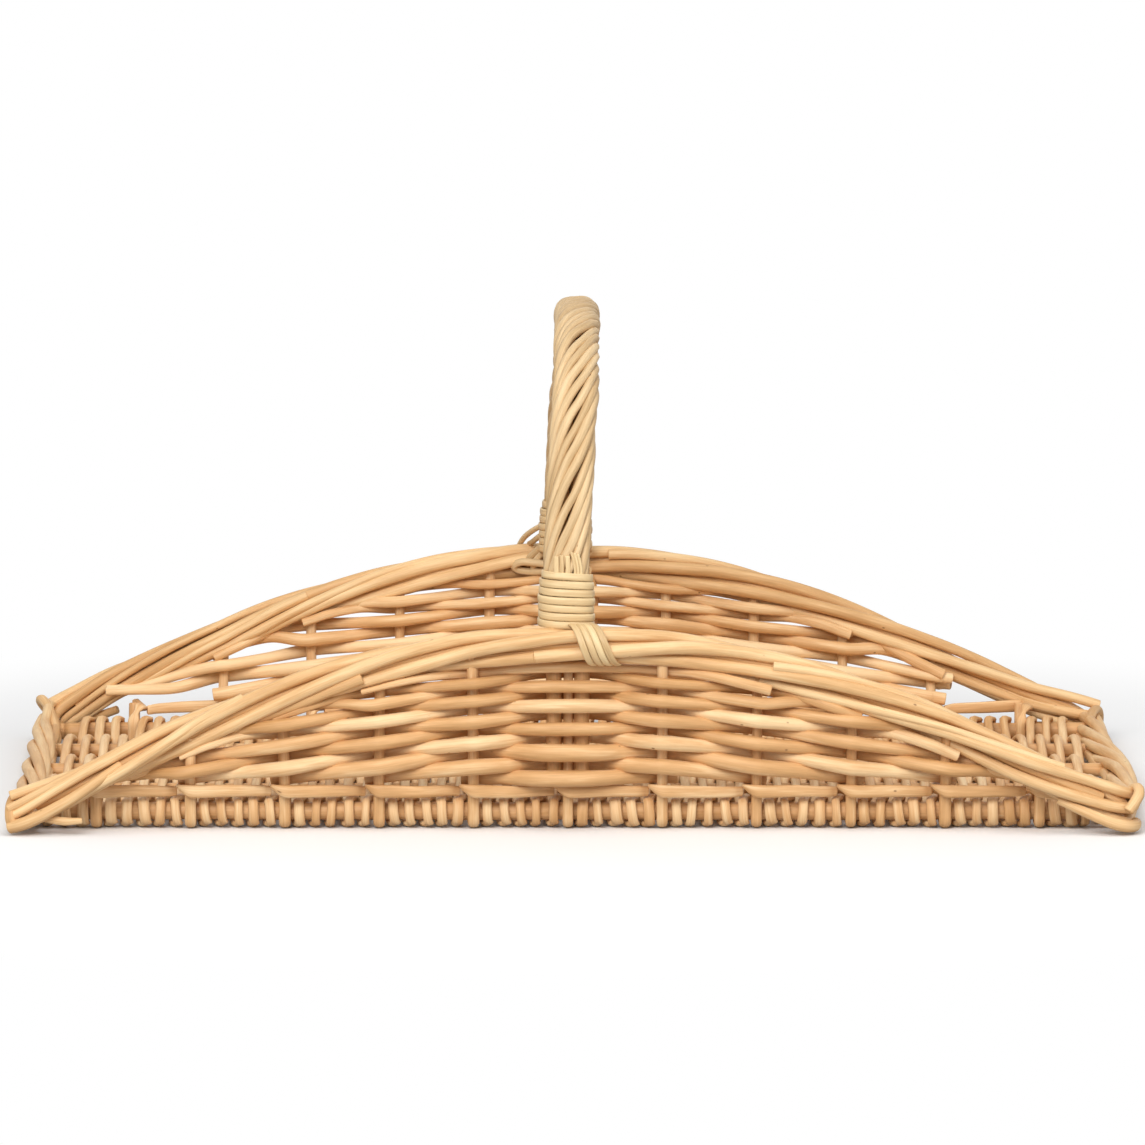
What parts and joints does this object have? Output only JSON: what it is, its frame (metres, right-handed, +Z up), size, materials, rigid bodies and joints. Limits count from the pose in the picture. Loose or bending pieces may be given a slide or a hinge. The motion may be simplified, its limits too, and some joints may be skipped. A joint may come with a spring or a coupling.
{
  "type": "garden trug",
  "caption": "Rectangular peeled-willow garden trug with a flat woven floor, long arched woven walls, a roped border and a fixed roped bow handle over the middle.",
  "frame": {"origin": "on the ground under the middle of the basket", "axes": "+X along the basket to the right in the picture, +Y from the front wall to the back wall, +Z up"},
  "size_m": [0.5596, 0.3534, 0.2509],
  "materials": {
    "peeled_willow": "satin",
    "split_skein": "satin"
  },
  "bodies": {
    "root": {"border_rod_1_back": "peeled_willow", "border_rod_1_front": "peeled_willow", "border_rod_2_back": "peeled_willow", "border_rod_2_front": "peeled_willow", "border_rod_3_back": "peeled_willow", "border_rod_3_front": "peeled_willow", "border_rod_4_back": "peeled_willow", "border_rod_4_front": "peeled_willow", "bow_rod_left": "peeled_willow", "bow_rod_right": "peeled_willow", "end_stake_left_back": "peeled_willow", "end_stake_left_front": "peeled_willow", "end_stake_right_back": "peeled_willow", "end_stake_right_front": "peeled_willow", "floor_stick_1": "peeled_willow", "floor_stick_2": "peeled_willow", "floor_stick_3": "peeled_willow", "floor_stick_4": "peeled_willow", "floor_stick_5": "peeled_willow", "floor_weaver": "peeled_willow", "handle_roping_1": "peeled_willow", "handle_roping_2": "peeled_willow", "handle_roping_3": "peeled_willow", "lashing_back": "split_skein", "lashing_front": "split_skein", "stake_1_back": "peeled_willow", "stake_1_front": "peeled_willow", "stake_2_back": "peeled_willow", "stake_2_front": "peeled_willow", "stake_3_back": "peeled_willow", "stake_3_front": "peeled_willow", "stake_4_back": "peeled_willow", "stake_4_front": "peeled_willow", "stake_5_back": "peeled_willow", "stake_5_front": "peeled_willow", "stake_6_back": "peeled_willow", "stake_6_front": "peeled_willow", "stake_7_back": "peeled_willow", "stake_7_front": "peeled_willow", "stake_8_back": "peeled_willow", "stake_8_front": "peeled_willow", "stake_9_back": "peeled_willow", "stake_9_front": "peeled_willow", "wall_packing_back": "peeled_willow", "wall_packing_front": "peeled_willow", "wall_row_10_back": "peeled_willow", "wall_row_10_front": "peeled_willow", "wall_row_11_back": "peeled_willow", "wall_row_11_front": "peeled_willow", "wall_row_6_back": "peeled_willow", "wall_row_6_front": "peeled_willow", "wall_row_7_back": "peeled_willow", "wall_row_7_front": "peeled_willow", "wall_row_8_back": "peeled_willow", "wall_row_8_front": "peeled_willow", "wall_row_9_back": "peeled_willow", "wall_row_9_front": "peeled_willow", "whipping_back": "split_skein", "whipping_front": "split_skein"}
  },
  "joints": []
}
